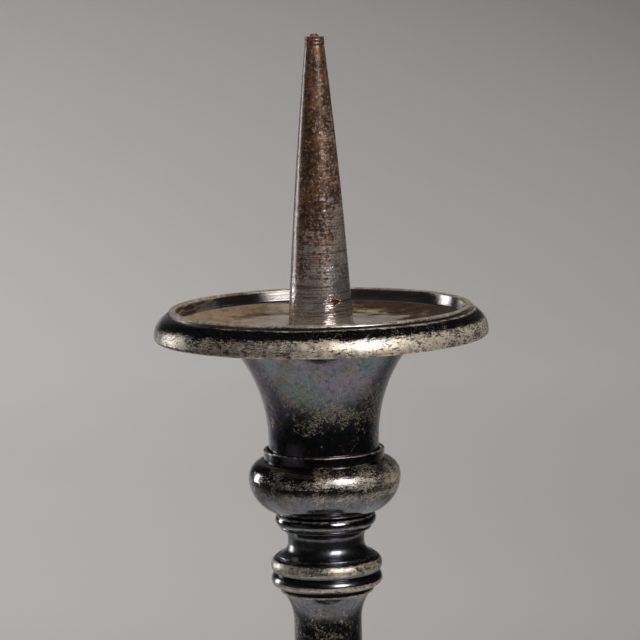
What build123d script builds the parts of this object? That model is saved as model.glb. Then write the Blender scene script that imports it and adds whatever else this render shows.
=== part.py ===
from build123d import *
import math
import os

# Pricket candle stand of turned, silvered brass, strung on an iron tie rod.
# The rod runs from a nut inside the hollow base up to the iron pricket, which screws
# on to its top end and draws every section together. The drip pan is loose: it lies on
# the cup around the pricket's foot and lifts off over the spike.
# Millimetres, +Z up, origin in the middle of the base's resting plane.
# Heights stack upwards from the base, so each section carries the ones above it.

# Driving dimensions

# Fits shared by all the sections
ROD_CLEARANCE = 0.15
SPIGOT_CLEARANCE = 0.15
SPIGOT_RADIUS = 8.5
SPIGOT_REACH = 4.0
SOLDER_GAP = 0.05

# Tie rod, nut and washer
ROD_RADIUS = 5.0
ROD_TAIL = 4.0
ROD_CHAMFER = 0.8
NUT_ACROSS_FLATS = 17.0
NUT_THICKNESS = 8.0
NUT_CORNER_CHAMFER = 1.6
WASHER_RADIUS = 15.0
WASHER_THICKNESS = 2.5

# Base foot ring
FOOT_RADIUS = 75.0
FOOT_HEIGHT = 13.0
FOOT_EDGE_HEIGHT = 4.0
FOOT_EDGE_ROUND = 1.2
FOOT_OVOLO_REACH = 8.0
FOOT_OVOLO_SHARE = 0.17
FOOT_FILLET_HEIGHT = 2.0
FOOT_FILLET_STEP = 1.0
FOOT_TOP_WIDTH = 4.0
FOOT_SOLE_WIDTH = 12.0

# Base dome
DOME_SEAT_DEPTH = 3.0
DOME_BAND_HEIGHT = 3.0
DOME_BAND_STEP = 2.0
DOME_SHOULDER_ROUND = 24.0
DOME_WALL = 3.5

# Base trumpet
TRUMPET_HEIGHT = 48.0
TRUMPET_LEDGE_WIDTH = 1.6
TRUMPET_FILLET_HEIGHT = 2.5
TRUMPET_FILLET_STEP = 1.9
TRUMPET_NECK_RADIUS = 14.5
TRUMPET_HEAD_RADIUS = 16.5
TRUMPET_HEAD_HEIGHT = 2.0
TRUMPET_WELL_RADIUS = 20.0
TRUMPET_WELL_RISE = 13.0
TRUMPET_SPIGOT_WALL = 4.0

# Base collar ring
BASE_COLLAR_HEIGHT = 5.0
BASE_COLLAR_RADIUS = 18.5
BASE_COLLAR_ROUND_SHARE = 0.8

# Lower spool
LOWER_SPOOL_HEIGHT = 25.0
LOWER_SPOOL_FOOT_RADIUS = 17.0
LOWER_SPOOL_WAIST_RADIUS = 12.0
LOWER_SPOOL_HEAD_RADIUS = 15.0
LOWER_SPOOL_FILLET_HEIGHT = 1.8
LOWER_SPOOL_FILLET_STEP = 0.9
LOWER_SPOOL_WAIST_SHARE = 0.56

# Lower knop
LOWER_KNOP_HEIGHT = 21.0
LOWER_KNOP_RADIUS = 23.5
LOWER_KNOP_FOOT_RADIUS = 14.5
LOWER_KNOP_HEAD_RADIUS = 15.5
LOWER_KNOP_BELLY_SHARE = 0.52
LOWER_KNOP_WALL = 5.0

# Shaft foot ring
SHAFT_RING_HEIGHT = 5.0
SHAFT_RING_RADIUS = 16.0
SHAFT_RING_ROUND_SHARE = 0.8

# Shaft
SHAFT_HEIGHT = 94.0
SHAFT_FOOT_RADIUS = 13.4
SHAFT_FOOT_FILLET_HEIGHT = 2.0
SHAFT_FOOT_FILLET_STEP = 1.0
SHAFT_BELLY_RADIUS = 19.5
SHAFT_BELLY_RISE = 22.0
SHAFT_WAIST_RADIUS = 11.3
SHAFT_WAIST_LENGTH = 12.0
SHAFT_FLARE_RADIUS = 14.9
SHAFT_FLARE_HEIGHT = 10.0
SHAFT_HEAD_RADIUS = 15.6
SHAFT_HEAD_HEIGHT = 2.0
SHAFT_OGEE_SHARE = 0.45
SHAFT_CORE_RADIUS = 12.5
SHAFT_CORE_LENGTH_SHARE = 0.3

# Two torus rings over the shaft
LOWER_TORUS_HEIGHT = 4.4
LOWER_TORUS_RADIUS = 18.5
LOWER_TORUS_FOOT_SHARE = 0.95
LOWER_TORUS_HEAD_SHARE = 0.55
UPPER_TORUS_HEIGHT = 5.4
UPPER_TORUS_RADIUS = 18.5
UPPER_TORUS_FOOT_SHARE = 0.45
UPPER_TORUS_HEAD_SHARE = 0.6

# Neck spool
NECK_HEIGHT = 10.4
NECK_FOOT_RADIUS = 16.1
NECK_FOOT_EDGE = 0.7
NECK_WAIST_RADIUS = 12.7
NECK_WAIST_SHARE = 0.6
NECK_HEAD_RADIUS = 15.2
NECK_HEAD_FILLET = 0.9

# Astragal ring under the bulb
ASTRAGAL_HEIGHT = 4.3
ASTRAGAL_RADIUS = 16.8
ASTRAGAL_ROUND_SHARE = 0.75

# Bulb knop
BULB_HEIGHT = 18.1
BULB_RADIUS = 25.2
BULB_FOOT_RADIUS = 14.6
BULB_HEAD_RADIUS = 20.3
BULB_BELLY_SHARE = 0.67
BULB_WALL = 5.0

# Cup collar
COLLAR_WALL = 1.2
COLLAR_HEIGHT = 3.2
COLLAR_FLOOR = 1.6
COLLAR_GROOVE = 0.5
COLLAR_EDGE_BREAK = 0.25

# Cup
CUP_HEIGHT = 41.3
CUP_FOOT_RADIUS = 18.3
CUP_STRAIGHT = 5.0
CUP_MOUTH_RADIUS = 33.0
CUP_EDGE_HEIGHT = 1.5
CUP_EDGE_WIDTH = 4.85
CUP_WALL = 2.6
CUP_FLOOR = 5.5

# Cup plate, which closes the cup's mouth and carries the pricket
PLATE_THICKNESS = 4.0
PLATE_LEDGE = 2.4

# Drip pan dish
PAN_FLOOR = 1.6
PAN_SEAT_RADIUS = 32.0
PAN_WALL_DEPTH = 4.2
PAN_DEPTH = 6.1
PAN_LIP_THICKNESS = 2.3
PAN_LIP_ROUND = 0.8
PAN_HOLE_CLEARANCE = 0.35

# Drip pan rim
RIM_RADIUS = 55.0
RIM_REACH = 5.1
RIM_LIP_STAND = 1.5
RIM_WIDEST_DROP = 8.7
RIM_DROP = 9.8
RIM_TOE = 0.6
RIM_SHELF_SHARE = 0.8
RIM_SHELF_THICKNESS = 1.5
RIM_SOLE_WIDTH = 2.2

# Pricket
PRICKET_LENGTH = 95.5
PRICKET_FOOT_RADIUS = 10.75
PRICKET_TIP_RADIUS = 3.25
PRICKET_COLLAR_HEIGHT = 3.4
PRICKET_NUB_RADIUS = 1.6
PRICKET_NUB_HEIGHT = 0.9
PRICKET_NUB_TOP_SHARE = 0.6
PRICKET_GROOVES = 3
PRICKET_GROOVE_DEPTH = 0.2
PRICKET_SWELL_SHARE = 0.006
PRICKET_SOCKET_DEPTH = 20.0

# Widths of the rings' bores, and of the rod's way through each section
ROD_BORE = ROD_RADIUS + ROD_CLEARANCE
SOCKET_RADIUS = SPIGOT_RADIUS + SPIGOT_CLEARANCE
SOCKET_DEPTH = SPIGOT_REACH + SPIGOT_CLEARANCE

# Radii of the base, from the foot's edge inwards
FOOT_TOP_RADIUS = FOOT_RADIUS - FOOT_OVOLO_REACH
DOME_SEAT_RADIUS = FOOT_TOP_RADIUS - FOOT_TOP_WIDTH
DOME_SHOULDER_RADIUS = DOME_SEAT_RADIUS - DOME_BAND_STEP
DOME_INNER_RADIUS = DOME_SHOULDER_RADIUS - DOME_WALL
DOME_TOP_RADIUS = DOME_SHOULDER_RADIUS - DOME_SHOULDER_ROUND
TRUMPET_SPIGOT_RADIUS = TRUMPET_WELL_RADIUS + TRUMPET_SPIGOT_WALL

# Radii of the cup's collar and mouth, and of the pan from its rim inwards
COLLAR_RECESS_RADIUS = CUP_FOOT_RADIUS + COLLAR_GROOVE
COLLAR_RADIUS = COLLAR_RECESS_RADIUS + COLLAR_WALL
CUP_REBATE_RADIUS = CUP_MOUTH_RADIUS - CUP_EDGE_WIDTH
PLATE_RADIUS = CUP_REBATE_RADIUS - SPIGOT_CLEARANCE
PAN_LIP_RADIUS = RIM_RADIUS - RIM_REACH
PAN_WALL_RADIUS = PAN_LIP_RADIUS - PAN_LIP_THICKNESS

# Heights of the joints, from the resting plane upwards
Z_DOME = FOOT_HEIGHT
Z_SHOULDER = Z_DOME + DOME_BAND_HEIGHT
Z_TRUMPET = Z_SHOULDER + DOME_SHOULDER_ROUND
Z_BASE_COLLAR = Z_TRUMPET + TRUMPET_HEIGHT
Z_LOWER_SPOOL = Z_BASE_COLLAR + BASE_COLLAR_HEIGHT
Z_LOWER_KNOP = Z_LOWER_SPOOL + LOWER_SPOOL_HEIGHT
Z_SHAFT_RING = Z_LOWER_KNOP + LOWER_KNOP_HEIGHT
Z_SHAFT = Z_SHAFT_RING + SHAFT_RING_HEIGHT
Z_LOWER_TORUS = Z_SHAFT + SHAFT_HEIGHT
Z_UPPER_TORUS = Z_LOWER_TORUS + LOWER_TORUS_HEIGHT
Z_NECK = Z_UPPER_TORUS + UPPER_TORUS_HEIGHT
Z_ASTRAGAL = Z_NECK + NECK_HEIGHT
Z_BULB = Z_ASTRAGAL + ASTRAGAL_HEIGHT
Z_COLLAR = Z_BULB + BULB_HEIGHT
Z_CUP = Z_COLLAR + COLLAR_FLOOR
Z_PAN = Z_CUP + CUP_HEIGHT
Z_LIP = Z_PAN + PAN_FLOOR + PAN_DEPTH
Z_BOSS = Z_TRUMPET + TRUMPET_WELL_RISE
Z_ROD_BOTTOM = Z_BOSS - WASHER_THICKNESS - NUT_THICKNESS - ROD_TAIL
Z_ROD_TOP = Z_PAN + PRICKET_SOCKET_DEPTH - ROD_CLEARANCE


class Outline:
    """A turner's outline of (radius, height) points, closed and spun about Z."""

    def __init__(self, radius, height):
        self.start = self.here = (radius, height)
        self.edges = []

    def _add(self, edge, point):
        self.edges.append(edge)
        self.here = point
        return self

    def line(self, radius, height):
        """A straight run."""
        return self._add(Line(self.here, (radius, height)), (radius, height))

    def bow(self, radius, height, share):
        """An arc that stands out by a share of its chord, to the right of its way."""
        chord = math.dist(self.here, (radius, height))
        return self._add(SagittaArc(self.here, (radius, height), -share * chord), (radius, height))

    def tuck(self, radius, height):
        """An arc that leaves the present point upright."""
        way = (0, math.copysign(1, height - self.here[1]))
        return self._add(TangentArc(self.here, (radius, height), tangent=way), (radius, height))

    def swell(self, radius, height):
        """An arc that arrives upright at its end."""
        back = (0, math.copysign(1, self.here[1] - height))
        return self._add(TangentArc((radius, height), self.here, tangent=back), (radius, height))

    def ogee(self, radius, height, share):
        """Two arcs, upright at both ends, that turn over at a share of the way."""
        r, z = self.here
        middle = (r + share * (radius - r), z + share * (height - z))
        return self.tuck(*middle).swell(radius, height)

    def spun(self):
        """The outline closed and turned into a solid."""
        if math.dist(self.here, self.start) > 0:
            self.line(*self.start)
        face = make_face(Wire(self.edges))
        return revolve(Plane.XZ * face, axis=Axis.Z)


def ring(radius, low, height, foot_share, head_share):
    """A rounded ring over a spigot; the shares of its half height set how far its faces draw in."""
    high = low + height
    half = height / 2
    outline = Outline(SOCKET_RADIUS, low).line(radius - foot_share * half, low).swell(radius, low + half)
    return outline.tuck(radius - head_share * half, high).line(SOCKET_RADIUS, high).spun()


def disc(radius, low, high):
    """A plain round plate with a hole for the rod."""
    return Outline(ROD_BORE, low).line(radius, low).line(radius, high).line(ROD_BORE, high).spun()


def tie_rod():
    """The iron rod that strings the sections together, chamfered at both ends."""
    tip = ROD_RADIUS - ROD_CHAMFER
    outline = Outline(0, Z_ROD_BOTTOM).line(tip, Z_ROD_BOTTOM)
    outline.line(ROD_RADIUS, Z_ROD_BOTTOM + ROD_CHAMFER).line(ROD_RADIUS, Z_ROD_TOP - ROD_CHAMFER)
    return outline.line(tip, Z_ROD_TOP).line(0, Z_ROD_TOP).spun()


def base_nut():
    """A square iron nut under the washer, inside the base."""
    low = Z_BOSS - WASHER_THICKNESS - NUT_THICKNESS
    blank = Pos(0, 0, low) * extrude(Rectangle(NUT_ACROSS_FLATS, NUT_ACROSS_FLATS), NUT_THICKNESS)
    blank = chamfer(blank.edges().filter_by(Axis.Z), NUT_CORNER_CHAMFER)
    return blank - Pos(0, 0, low) * extrude(Circle(ROD_BORE), NUT_THICKNESS)


def base_washer():
    """A plain iron washer against the top of the trumpet's well."""
    return disc(WASHER_RADIUS, Z_BOSS - WASHER_THICKNESS, Z_BOSS)


def base_foot_ring():
    """The moulded ring that the stand rests on, rebated for the dome."""
    seat = FOOT_HEIGHT - DOME_SEAT_DEPTH
    rebate = DOME_SEAT_RADIUS + SPIGOT_CLEARANCE
    fillet = FOOT_HEIGHT - FOOT_FILLET_HEIGHT
    outline = Outline(FOOT_RADIUS - FOOT_SOLE_WIDTH, 0).line(FOOT_RADIUS - FOOT_EDGE_ROUND, 0)
    outline.swell(FOOT_RADIUS, FOOT_EDGE_ROUND).line(FOOT_RADIUS, FOOT_EDGE_HEIGHT)
    outline.bow(FOOT_TOP_RADIUS + FOOT_FILLET_STEP, fillet, FOOT_OVOLO_SHARE)
    outline.line(FOOT_TOP_RADIUS, fillet).line(FOOT_TOP_RADIUS, FOOT_HEIGHT)
    return outline.line(rebate, FOOT_HEIGHT).line(rebate, seat).line(DOME_INNER_RADIUS, seat).spun()


def base_dome():
    """The hollow domed shell of the base, with a round hole on top for the trumpet."""
    seat = Z_DOME - DOME_SEAT_DEPTH
    hole = TRUMPET_SPIGOT_RADIUS + SOLDER_GAP
    ceiling = Z_TRUMPET - DOME_WALL
    outline = Outline(DOME_INNER_RADIUS, seat).line(DOME_SEAT_RADIUS, seat)
    outline.line(DOME_SEAT_RADIUS, Z_SHOULDER).line(DOME_SHOULDER_RADIUS, Z_SHOULDER)
    outline.tuck(DOME_TOP_RADIUS, Z_TRUMPET)
    outline.line(hole, Z_TRUMPET).line(hole, ceiling).line(DOME_TOP_RADIUS, ceiling)
    return outline.swell(DOME_INNER_RADIUS, Z_SHOULDER).spun()


def base_trumpet():
    """The trumpet neck soldered into the dome, with a well for the nut and a spigot on top."""
    foot = DOME_TOP_RADIUS - TRUMPET_LEDGE_WIDTH
    fillet = Z_TRUMPET + TRUMPET_FILLET_HEIGHT
    head = Z_BASE_COLLAR - TRUMPET_HEAD_HEIGHT
    low = Z_TRUMPET - DOME_WALL
    spigot_top = Z_LOWER_SPOOL + SPIGOT_REACH
    outline = Outline(TRUMPET_WELL_RADIUS, low).line(TRUMPET_SPIGOT_RADIUS, low)
    outline.line(TRUMPET_SPIGOT_RADIUS, Z_TRUMPET).line(foot, Z_TRUMPET).line(foot, fillet)
    outline.line(foot - TRUMPET_FILLET_STEP, fillet).swell(TRUMPET_NECK_RADIUS, head)
    outline.line(TRUMPET_HEAD_RADIUS, head).line(TRUMPET_HEAD_RADIUS, Z_BASE_COLLAR)
    outline.line(SPIGOT_RADIUS, Z_BASE_COLLAR).line(SPIGOT_RADIUS, spigot_top).line(ROD_BORE, spigot_top)
    return outline.line(ROD_BORE, Z_BOSS).line(TRUMPET_WELL_RADIUS, Z_BOSS).spun()


def base_collar_ring():
    """The ring between the base and the lower spool."""
    share = BASE_COLLAR_ROUND_SHARE
    return ring(BASE_COLLAR_RADIUS, Z_BASE_COLLAR, BASE_COLLAR_HEIGHT, share, share)


def lower_spool():
    """The waisted spool above the base."""
    foot = Z_LOWER_SPOOL + LOWER_SPOOL_FILLET_HEIGHT
    head = Z_LOWER_KNOP - LOWER_SPOOL_FILLET_HEIGHT
    waist = foot + LOWER_SPOOL_WAIST_SHARE * (head - foot)
    outline = Outline(SOCKET_RADIUS, Z_LOWER_SPOOL).line(LOWER_SPOOL_FOOT_RADIUS, Z_LOWER_SPOOL)
    outline.line(LOWER_SPOOL_FOOT_RADIUS, foot)
    outline.line(LOWER_SPOOL_FOOT_RADIUS - LOWER_SPOOL_FILLET_STEP, foot)
    outline.swell(LOWER_SPOOL_WAIST_RADIUS, waist)
    outline.tuck(LOWER_SPOOL_HEAD_RADIUS - LOWER_SPOOL_FILLET_STEP, head)
    outline.line(LOWER_SPOOL_HEAD_RADIUS, head).line(LOWER_SPOOL_HEAD_RADIUS, Z_LOWER_KNOP)
    return with_spigot(outline, Z_LOWER_KNOP, Z_LOWER_KNOP + SPIGOT_REACH, Z_LOWER_SPOOL)


def with_spigot(outline, shoulder, spigot_top, low):
    """Ends an outline with a spigot on top, the rod's bore and a socket below."""
    outline.line(SPIGOT_RADIUS, shoulder).line(SPIGOT_RADIUS, spigot_top).line(ROD_BORE, spigot_top)
    outline.line(ROD_BORE, low + SOCKET_DEPTH).line(SOCKET_RADIUS, low + SOCKET_DEPTH)
    return outline.spun()


def knop_cavity(low, high, widest):
    """The hollow inside a knop, with a flat floor and ceiling and a half-round side."""
    half = (high - low) / 2
    flat = widest - half
    outline = Outline(ROD_BORE, low).line(flat, low).swell(widest, low + half)
    return outline.tuck(flat, high).line(ROD_BORE, high).spun()


def knop(low, height, foot, belly, head, belly_share, wall, spigot_top):
    """A flattened ball with a socket below, a spigot above and a hollow inside."""
    high = low + height
    outline = Outline(SOCKET_RADIUS, low).line(foot, low)
    outline.swell(belly, low + belly_share * height).tuck(head, high)
    body = with_spigot(outline, high, spigot_top, low)
    return body - knop_cavity(low + wall, high - wall, belly - wall)


def lower_knop():
    """The lower knop, whose spigot passes through the shaft's foot ring."""
    return knop(
        Z_LOWER_KNOP,
        LOWER_KNOP_HEIGHT,
        LOWER_KNOP_FOOT_RADIUS,
        LOWER_KNOP_RADIUS,
        LOWER_KNOP_HEAD_RADIUS,
        LOWER_KNOP_BELLY_SHARE,
        LOWER_KNOP_WALL,
        Z_SHAFT + SPIGOT_REACH,
    )


def shaft_foot_ring():
    """The ring under the shaft."""
    share = SHAFT_RING_ROUND_SHARE
    return ring(SHAFT_RING_RADIUS, Z_SHAFT_RING, SHAFT_RING_HEIGHT, share, share)


def shaft():
    """The baluster shaft: a pear below, a slim waist and a flared head."""
    foot = Z_SHAFT + SHAFT_FOOT_FILLET_HEIGHT
    belly = Z_SHAFT + SHAFT_BELLY_RISE
    head = Z_LOWER_TORUS - SHAFT_HEAD_HEIGHT
    waist_top = head - SHAFT_FLARE_HEIGHT
    outline = Outline(SOCKET_RADIUS, Z_SHAFT).line(SHAFT_FOOT_RADIUS, Z_SHAFT).line(SHAFT_FOOT_RADIUS, foot)
    outline.line(SHAFT_FOOT_RADIUS - SHAFT_FOOT_FILLET_STEP, foot).swell(SHAFT_BELLY_RADIUS, belly)
    outline.ogee(SHAFT_WAIST_RADIUS, waist_top - SHAFT_WAIST_LENGTH, SHAFT_OGEE_SHARE)
    outline.line(SHAFT_WAIST_RADIUS, waist_top).tuck(SHAFT_FLARE_RADIUS, head)
    outline.line(SHAFT_HEAD_RADIUS, head).line(SHAFT_HEAD_RADIUS, Z_LOWER_TORUS)
    body = with_spigot(outline, Z_LOWER_TORUS, Z_NECK + SPIGOT_REACH, Z_SHAFT)
    core_half = SHAFT_CORE_LENGTH_SHARE * SHAFT_HEIGHT / 2
    core = Outline(ROD_BORE, belly - core_half).swell(SHAFT_CORE_RADIUS, belly)
    return body - core.tuck(ROD_BORE, belly + core_half).spun()


def lower_torus_ring():
    """The lower of the two rings at the shaft's head."""
    return ring(
        LOWER_TORUS_RADIUS,
        Z_LOWER_TORUS,
        LOWER_TORUS_HEIGHT,
        LOWER_TORUS_FOOT_SHARE,
        LOWER_TORUS_HEAD_SHARE,
    )


def upper_torus_ring():
    """The upper of the two rings at the shaft's head."""
    return ring(
        UPPER_TORUS_RADIUS,
        Z_UPPER_TORUS,
        UPPER_TORUS_HEIGHT,
        UPPER_TORUS_FOOT_SHARE,
        UPPER_TORUS_HEAD_SHARE,
    )


def neck_spool():
    """The hollow-sided spool between the rings and the bulb."""
    waist = Z_NECK + NECK_WAIST_SHARE * NECK_HEIGHT
    outline = Outline(SOCKET_RADIUS, Z_NECK).line(NECK_FOOT_RADIUS, Z_NECK)
    outline.line(NECK_FOOT_RADIUS, Z_NECK + NECK_FOOT_EDGE)
    outline.swell(NECK_WAIST_RADIUS, waist).tuck(NECK_HEAD_RADIUS, Z_ASTRAGAL - NECK_HEAD_FILLET)
    outline.line(NECK_HEAD_RADIUS, Z_ASTRAGAL)
    return with_spigot(outline, Z_ASTRAGAL, Z_BULB + SPIGOT_REACH, Z_NECK)


def astragal_ring():
    """The half-round ring under the bulb."""
    share = ASTRAGAL_ROUND_SHARE
    return ring(ASTRAGAL_RADIUS, Z_ASTRAGAL, ASTRAGAL_HEIGHT, share, share)


def bulb_knop():
    """The flattened ball under the cup, whose spigot passes through the collar."""
    return knop(
        Z_BULB,
        BULB_HEIGHT,
        BULB_FOOT_RADIUS,
        BULB_RADIUS,
        BULB_HEAD_RADIUS,
        BULB_BELLY_SHARE,
        BULB_WALL,
        Z_CUP + SPIGOT_REACH,
    )


def cup_collar():
    """The shallow collar that the cup's foot stands in, with a narrow groove round it."""
    top = Z_COLLAR + COLLAR_HEIGHT
    recess = COLLAR_RECESS_RADIUS
    outline = Outline(SOCKET_RADIUS, Z_COLLAR).line(COLLAR_RADIUS, Z_COLLAR)
    outline.line(COLLAR_RADIUS, top - COLLAR_EDGE_BREAK).line(COLLAR_RADIUS - COLLAR_EDGE_BREAK, top)
    return outline.line(recess, top).line(recess, Z_CUP).line(SOCKET_RADIUS, Z_CUP).spun()


def cup():
    """The flared cup, a thin shell with a floor and a rebate for the plate in its mouth."""
    edge = Z_PAN - CUP_EDGE_HEIGHT
    ledge = Z_PAN - PLATE_THICKNESS
    floor = Z_CUP + CUP_FLOOR
    rebate = CUP_REBATE_RADIUS
    outline = Outline(SOCKET_RADIUS, Z_CUP).line(CUP_FOOT_RADIUS, Z_CUP)
    outline.line(CUP_FOOT_RADIUS, Z_CUP + CUP_STRAIGHT).tuck(CUP_MOUTH_RADIUS, edge)
    outline.line(CUP_MOUTH_RADIUS, Z_PAN).line(rebate, Z_PAN).line(rebate, ledge)
    outline.line(PLATE_RADIUS - PLATE_LEDGE, ledge).swell(CUP_FOOT_RADIUS - CUP_WALL, floor)
    outline.line(ROD_BORE, floor).line(ROD_BORE, Z_CUP + SOCKET_DEPTH)
    return outline.line(SOCKET_RADIUS, Z_CUP + SOCKET_DEPTH).spun()


def cup_plate():
    """The round plate in the cup's mouth, on which the pricket bears."""
    return disc(PLATE_RADIUS, Z_PAN - PLATE_THICKNESS, Z_PAN)


def drip_pan_dish():
    """The pan's tray: a flat seat for the candle, a shallow cone and an upright lip."""
    hole = PRICKET_FOOT_RADIUS + PAN_HOLE_CLEARANCE
    seat = Z_PAN + PAN_FLOOR
    ledge = Z_LIP - PAN_WALL_DEPTH
    under_ledge = ledge - PAN_FLOOR
    outline = Outline(hole, Z_PAN).line(PAN_SEAT_RADIUS, Z_PAN).line(PAN_WALL_RADIUS, under_ledge)
    outline.line(PAN_LIP_RADIUS, under_ledge).line(PAN_LIP_RADIUS, Z_LIP - PAN_LIP_ROUND)
    outline.tuck(PAN_LIP_RADIUS - PAN_LIP_ROUND, Z_LIP).line(PAN_WALL_RADIUS + PAN_LIP_ROUND, Z_LIP)
    outline.swell(PAN_WALL_RADIUS, Z_LIP - PAN_LIP_ROUND).line(PAN_WALL_RADIUS, ledge)
    return outline.line(PAN_SEAT_RADIUS, seat).line(hole, seat).spun()


def drip_pan_rim():
    """The cast ovolo ring soldered round the dish, with a shelf that the dish sits on."""
    top = Z_LIP - RIM_LIP_STAND
    bottom = Z_LIP - RIM_DROP
    widest = Z_LIP - RIM_WIDEST_DROP
    shelf = Z_LIP - PAN_WALL_DEPTH - PAN_FLOOR
    inner = PAN_LIP_RADIUS + SOLDER_GAP
    toe = RIM_RADIUS - RIM_TOE
    shelf_edge = PAN_LIP_RADIUS - RIM_SHELF_SHARE * PAN_LIP_THICKNESS
    outline = Outline(toe - RIM_SOLE_WIDTH, bottom).line(toe, bottom).swell(RIM_RADIUS, widest)
    outline.tuck(inner + RIM_TOE, top).line(inner, top).line(inner, shelf)
    return outline.line(shelf_edge, shelf).line(shelf_edge, shelf - RIM_SHELF_THICKNESS).spun()


def pricket():
    """The iron spike: a barely swelling cone with a short collar and a worn nub at its tip."""
    tip = Z_PAN + PRICKET_LENGTH
    nub = tip + PRICKET_NUB_HEIGHT
    socket = ROD_BORE
    socket_top = Z_PAN + PRICKET_SOCKET_DEPTH
    outline = Outline(socket, Z_PAN).line(PRICKET_FOOT_RADIUS, Z_PAN)
    outline.bow(PRICKET_TIP_RADIUS, tip - PRICKET_COLLAR_HEIGHT, PRICKET_SWELL_SHARE)
    pitch = PRICKET_COLLAR_HEIGHT / PRICKET_GROOVES
    for groove in range(PRICKET_GROOVES):
        edge = tip - PRICKET_COLLAR_HEIGHT + (groove + 1) * pitch
        outline.line(PRICKET_TIP_RADIUS - PRICKET_GROOVE_DEPTH, edge - pitch / 2)
        outline.line(PRICKET_TIP_RADIUS, edge)
    outline.line(PRICKET_NUB_RADIUS, tip).line(PRICKET_NUB_TOP_SHARE * PRICKET_NUB_RADIUS, nub)
    return outline.line(0, nub).line(0, socket_top).line(socket, socket_top).spun()


PIECES = (
    tie_rod,
    base_nut,
    base_washer,
    base_foot_ring,
    base_dome,
    base_trumpet,
    base_collar_ring,
    lower_spool,
    lower_knop,
    shaft_foot_ring,
    shaft,
    lower_torus_ring,
    upper_torus_ring,
    neck_spool,
    astragal_ring,
    bulb_knop,
    cup_collar,
    cup,
    cup_plate,
    drip_pan_dish,
    drip_pan_rim,
    pricket,
)

os.makedirs("parts", exist_ok=True)
for piece in PIECES:
    export_step(piece(), f"parts/{piece.__name__}.step")
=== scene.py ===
"""Dresses a turned candle stand: worn silvered sections, a loose drip pan and an iron spike."""
import math

import bpy
from bpy.props import FloatProperty, FloatVectorProperty, IntProperty, PointerProperty
from mathutils import Matrix, Vector


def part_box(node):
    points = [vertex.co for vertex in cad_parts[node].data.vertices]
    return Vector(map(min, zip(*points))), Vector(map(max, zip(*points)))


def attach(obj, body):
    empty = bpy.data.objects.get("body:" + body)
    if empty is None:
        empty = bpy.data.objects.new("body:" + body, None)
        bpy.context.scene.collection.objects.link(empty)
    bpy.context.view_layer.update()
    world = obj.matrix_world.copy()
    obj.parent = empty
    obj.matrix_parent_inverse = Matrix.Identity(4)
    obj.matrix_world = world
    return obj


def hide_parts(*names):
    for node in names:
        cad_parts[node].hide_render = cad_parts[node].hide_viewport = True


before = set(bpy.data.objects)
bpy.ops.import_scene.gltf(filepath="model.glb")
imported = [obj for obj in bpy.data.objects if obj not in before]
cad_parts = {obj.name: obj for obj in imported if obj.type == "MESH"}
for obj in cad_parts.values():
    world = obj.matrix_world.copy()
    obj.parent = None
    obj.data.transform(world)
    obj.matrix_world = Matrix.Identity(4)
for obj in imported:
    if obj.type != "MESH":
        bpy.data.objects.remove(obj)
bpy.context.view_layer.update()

bl_info = {
    "name": "Pricket candle stand",
    "version": (1, 0, 0),
    "blender": (4, 5, 0),
    "location": "3D View > Sidebar > Candle stand",
    "description": "Models the turned pieces of a candle stand over its packed frame, and sets its stage",
    "category": "Add Mesh",
}

# The two bodies: the stem and base, and the drip pan that lifts off them
STAND = "stand"
PAN = "drip_pan"

# How finely arcs, eased edges, the base's ovolo and the stage's sweep are drawn
ARC_STEP = math.radians(5)
EDGE_SEGMENTS = 3
OVOLO_STEPS = 16
SWEEP_STEPS = 24

# How close points merge, and the angles above which a corner is eased and an edge is shaded sharp
MERGE_DISTANCE = 2e-6
CORNER_ANGLE = math.radians(18)
SMOOTH_ANGLE = math.radians(38)

# The camera's sensor in mm, and how near it sees in metres
SENSOR_WIDTH = 36
NEAREST = 0.01


# Kinds of setting

def length(name, description, default):
    """A size in metres."""
    return FloatProperty(name=name, description=description, default=default, unit="LENGTH", precision=5)


def share(name, description, default):
    """A share of another size, or of a whole."""
    return FloatProperty(name=name, description=description, default=default, subtype="FACTOR", min=0, max=1)


def angle(name, description, degrees):
    """A turn, given in degrees."""
    return FloatProperty(name=name, description=description, default=math.radians(degrees), subtype="ANGLE")


def colour(name, description, default):
    """A linear colour."""
    limits = {"subtype": "COLOR", "min": 0, "max": 1}
    return FloatVectorProperty(name=name, description=description, default=default, **limits)


def power(name, description, default):
    """A lamp's power in watts."""
    return FloatProperty(name=name, description=description, default=default, unit="POWER", min=0)


class TurningSizes(bpy.types.PropertyGroup):
    """Sizes that all the turned sections share."""

    steps: IntProperty(name="Steps", description="Faces round each turned piece", default=224, min=24)
    edge: length("Eased edge", "How far each sharp edge is eased", 0.00022)
    rod_bore: length("Rod bore", "Radius of the way through each section for the rod", 0.00515)
    spigot: length("Spigot", "Radius of the spigot on top of each section", 0.0085)
    socket: length("Socket", "Radius of the socket under each section", 0.00865)
    socket_depth: length("Socket depth", "Depth of the socket under each section", 0.00415)


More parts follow.
